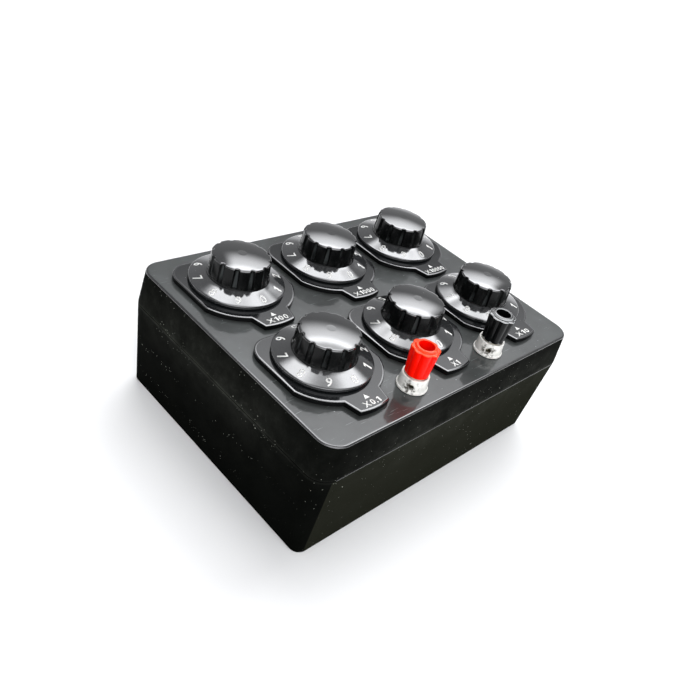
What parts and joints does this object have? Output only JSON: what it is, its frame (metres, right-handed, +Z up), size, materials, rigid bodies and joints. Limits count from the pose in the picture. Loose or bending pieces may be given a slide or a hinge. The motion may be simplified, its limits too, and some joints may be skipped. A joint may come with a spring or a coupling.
{
  "type": "decade resistance box",
  "caption": "Bench resistance box: black moulded case with rotary decade dials in two rows and red and black binding posts at the front.",
  "frame": {"origin": "centre of the underside of the case, on the table", "axes": "+X to the user's right along the long side, +Y to the back, +Z up"},
  "size_m": [0.1638, 0.1246, 0.0796],
  "materials": {
    "case_plastic": "glossy black moulded plastic with dust and fine scuffs",
    "knob_plastic": "polished black moulded plastic",
    "plate_plastic": "polished black moulded plastic with white printing",
    "red_plastic": "glossy red moulded plastic",
    "clear_plastic": "clear moulded plastic",
    "nickel_plate": "nickel plated brass",
    "brass": "turned brass",
    "zinc_steel": "zinc plated steel",
    "phenolic_board": "brown phenolic laminate",
    "wound_bobbins": "varnished resistance wire on bobbins",
    "lead_insulation": "yellow insulated hook-up wire"
  },
  "bodies": {
    "case": {"case_base": "case_plastic", "case_lid": "case_plastic", "case_screw_1": "zinc_steel", "case_screw_2": "zinc_steel", "case_screw_3": "zinc_steel", "case_screw_4": "zinc_steel", "index_plate_tenths": "plate_plastic", "bush_nut_tenths": "nickel_plate", "switch_body_tenths": "phenolic_board", "resistor_bank_tenths": "wound_bobbins", "index_plate_hundreds": "plate_plastic", "bush_nut_hundreds": "nickel_plate", "switch_body_hundreds": "phenolic_board", "resistor_bank_hundreds": "wound_bobbins", "index_plate_thousands": "plate_plastic", "bush_nut_thousands": "nickel_plate", "switch_body_thousands": "phenolic_board", "resistor_bank_thousands": "wound_bobbins", "index_plate_ten_thousands": "plate_plastic", "bush_nut_ten_thousands": "nickel_plate", "switch_body_ten_thousands": "phenolic_board", "resistor_bank_ten_thousands": "wound_bobbins", "index_plate_tens": "plate_plastic", "bush_nut_tens": "nickel_plate", "switch_body_tens": "phenolic_board", "resistor_bank_tens": "wound_bobbins", "index_plate_units": "plate_plastic", "bush_nut_units": "nickel_plate", "switch_body_units": "phenolic_board", "resistor_bank_units": "wound_bobbins", "post_collar_red": "clear_plastic", "post_stud_red": "nickel_plate", "stud_nut_red": "nickel_plate", "post_collar_black": "clear_plastic", "post_stud_black": "nickel_plate", "stud_nut_black": "nickel_plate", "series_lead_1": "lead_insulation", "series_lead_2": "lead_insulation", "series_lead_3": "lead_insulation", "series_lead_4": "lead_insulation", "series_lead_5": "lead_insulation", "series_lead_6": "lead_insulation", "series_lead_7": "lead_insulation"},
    "dial_tenths": {"knob_tenths": "knob_plastic", "switch_shaft_tenths": "brass"},
    "dial_hundreds": {"knob_hundreds": "knob_plastic", "switch_shaft_hundreds": "brass"},
    "dial_thousands": {"knob_thousands": "knob_plastic", "switch_shaft_thousands": "brass"},
    "dial_ten_thousands": {"knob_ten_thousands": "knob_plastic", "switch_shaft_ten_thousands": "brass"},
    "dial_tens": {"knob_tens": "knob_plastic", "switch_shaft_tens": "brass"},
    "dial_units": {"knob_units": "knob_plastic", "switch_shaft_units": "brass"},
    "red_clamp": {"clamp_ring_red": "brass"},
    "red_cap": {"post_cap_red": "red_plastic"},
    "black_clamp": {"clamp_ring_black": "brass"},
    "black_cap": {"post_cap_black": "knob_plastic"}
  },
  "joints": [
    {"name": "dial_tenths_turn", "type": "hinge", "parent": "case", "child": "dial_tenths", "pos_m": [-0.051, -0.0228, 0.0596], "axis": [0, 0, 1], "continuous": true},
    {"name": "dial_hundreds_turn", "type": "hinge", "parent": "case", "child": "dial_hundreds", "pos_m": [-0.051, 0.0327, 0.0596], "axis": [0, 0, 1], "continuous": true},
    {"name": "dial_thousands_turn", "type": "hinge", "parent": "case", "child": "dial_thousands", "pos_m": [0, 0.0327, 0.0596], "axis": [0, 0, 1], "continuous": true},
    {"name": "dial_ten_thousands_turn", "type": "hinge", "parent": "case", "child": "dial_ten_thousands", "pos_m": [0.051, 0.0327, 0.0596], "axis": [0, 0, 1], "continuous": true},
    {"name": "dial_tens_turn", "type": "hinge", "parent": "case", "child": "dial_tens", "pos_m": [0.051, -0.0228, 0.0596], "axis": [0, 0, 1], "continuous": true},
    {"name": "dial_units_turn", "type": "hinge", "parent": "case", "child": "dial_units", "pos_m": [0, -0.0228, 0.0596], "axis": [0, 0, 1], "continuous": true},
    {"name": "red_cap_rise", "type": "slide", "parent": "case", "child": "red_clamp", "axis": [0, 0, 1], "range_m": [0, 0.004]},
    {"name": "red_cap_turn", "type": "hinge", "parent": "red_clamp", "child": "red_cap", "pos_m": [-0.02645, -0.0498, 0.0596], "axis": [0, 0, 1], "range_deg": [0, 1440]},
    {"name": "black_cap_rise", "type": "slide", "parent": "case", "child": "black_clamp", "axis": [0, 0, 1], "range_m": [0, 0.004]},
    {"name": "black_cap_turn", "type": "hinge", "parent": "black_clamp", "child": "black_cap", "pos_m": [0.02525, -0.0498, 0.0596], "axis": [0, 0, 1], "range_deg": [0, 1440]}
  ],
  "couplings": [
    {"joint": "red_cap_turn", "follows": "red_cap_rise", "rad_per_m": 6283.1},
    {"joint": "black_cap_turn", "follows": "black_cap_rise", "rad_per_m": 6283.1}
  ]
}
